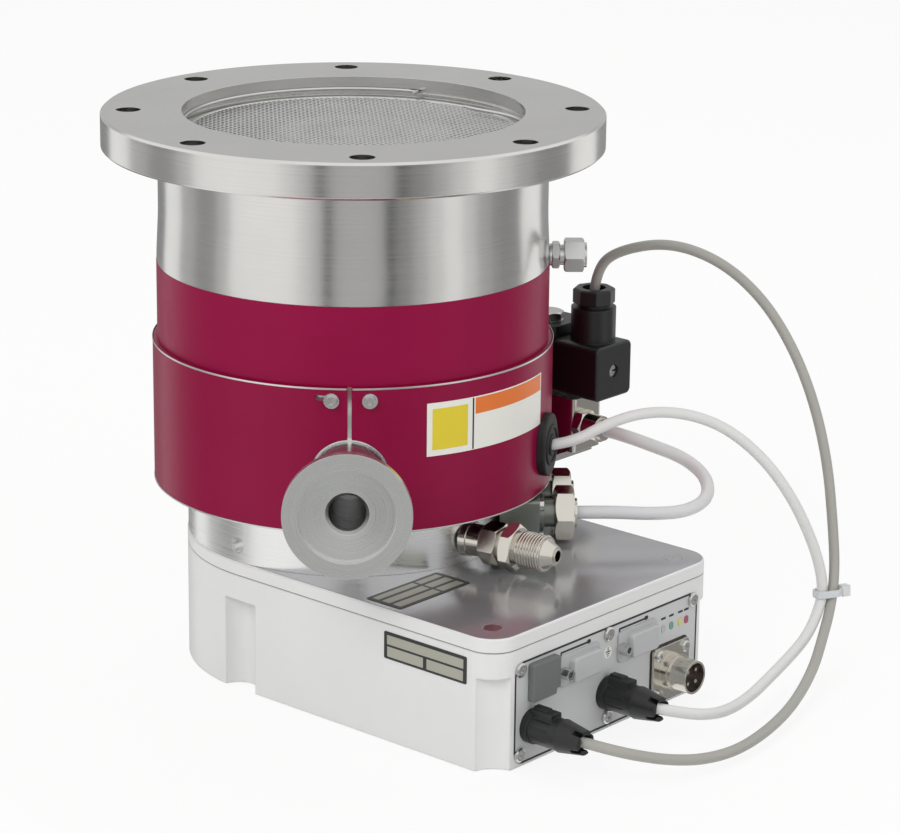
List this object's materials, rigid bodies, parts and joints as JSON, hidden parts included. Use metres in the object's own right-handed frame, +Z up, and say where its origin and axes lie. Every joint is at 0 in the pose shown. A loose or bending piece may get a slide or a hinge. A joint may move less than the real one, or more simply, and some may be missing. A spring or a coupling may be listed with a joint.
{
  "type": "turbomolecular pump",
  "caption": "Magnetic-bearing turbomolecular pump with a bladed rotor, bolted inlet flange, small-flange exhaust, heated jacket, water valve and an electronics base with cables.",
  "frame": {"origin": "on the rotor axis, at the foot of the electronics housing", "axes": "+Z up along the rotor axis towards the inlet; +X towards the connector panel"},
  "size_m": [0.3303, 0.2728, 0.254],
  "materials": {
    "black_plastic": "moulded",
    "black_rubber": "matt",
    "bright_steel": "bright",
    "brown_plastic": "matt",
    "copper_winding": "enamelled",
    "dark_steel": "dark",
    "green_board": "solder mask",
    "grey_cover": "satin",
    "grey_jacket": "satin",
    "grey_panel": "satin",
    "grey_plastic": "matt",
    "light_paint": "satin paint",
    "nickel": "nickel plated",
    "red_film": "gloss film",
    "red_jacket": "gloss paint",
    "rotor_alloy": "milled",
    "screen_steel": "bright",
    "turned_aluminium": "turned",
    "turned_steel": "turned",
    "white_jacket": "satin",
    "white_tube": "satin"
  },
  "bodies": {
    "pump": {"axial_bearing": "dark_steel", "base_housing": "light_paint", "blank_cover": "grey_plastic", "board_standoffs": "bright_steel", "bracket_screws": "bright_steel", "cable_grommet": "black_rubber", "cable_tie": "white_jacket", "coil_nut": "bright_steel", "colour_band": "red_film", "connector_gasket": "black_rubber", "connector_panel": "grey_panel", "connector_screw": "bright_steel", "control_board": "green_board", "cover_screws": "bright_steel", "drive_module": "dark_steel", "exhaust_port": "turned_steel", "front_hose_nut": "nickel", "gland_nut": "black_plastic", "grey_cable": "grey_jacket", "heating_jacket": "red_jacket", "holweck_stator": "rotor_alloy", "inlet_screen": "screen_steel", "jacket_screws": "bright_steel", "lower_housing": "turned_aluminium", "manifold_screws": "bright_steel", "motor_stator": "copper_winding", "panel_screws": "bright_steel", "plate_screws": "bright_steel", "plug_lower": "black_plastic", "plug_upper": "black_plastic", "port_covers": "grey_cover", "power_inlet": "nickel", "power_insulator": "brown_plastic", "power_pins": "nickel", "power_screws": "bright_steel", "pump_casing": "turned_steel", "radial_bearings": "dark_steel", "rear_hose_nut": "nickel", "retaining_ring": "bright_steel", "solenoid_coil": "black_plastic", "spacer_rings": "rotor_alloy", "stator_column": "turned_aluminium", "stator_discs": "rotor_alloy", "top_plate": "light_paint", "touchdown_bearings": "bright_steel", "valve_body": "nickel", "valve_bracket": "bright_steel", "valve_connector": "black_plastic", "valve_fitting": "nickel", "vent_fitting": "bright_steel", "vent_nut": "bright_steel", "water_fitting": "nickel", "water_manifold": "turned_aluminium", "water_tube": "white_tube", "white_cable": "white_jacket"},
    "rotor": {"turbine_rotor": "rotor_alloy", "rotor_shaft": "bright_steel", "rotor_nut": "bright_steel", "rotor_sleeves": "dark_steel"},
    "plunger": {"valve_plunger": "dark_steel"}
  },
  "joints": [
    {"name": "rotor_spin", "type": "hinge", "parent": "pump", "child": "rotor", "pos_m": [0, 0, 0.15], "axis": [0, 0, 1], "continuous": true},
    {"name": "plunger_lift", "type": "slide", "parent": "pump", "child": "plunger", "axis": [0, 0, 1], "range_m": [0, 0.003], "stiffness_N_per_m": 60, "springref_m": -0.004}
  ]
}
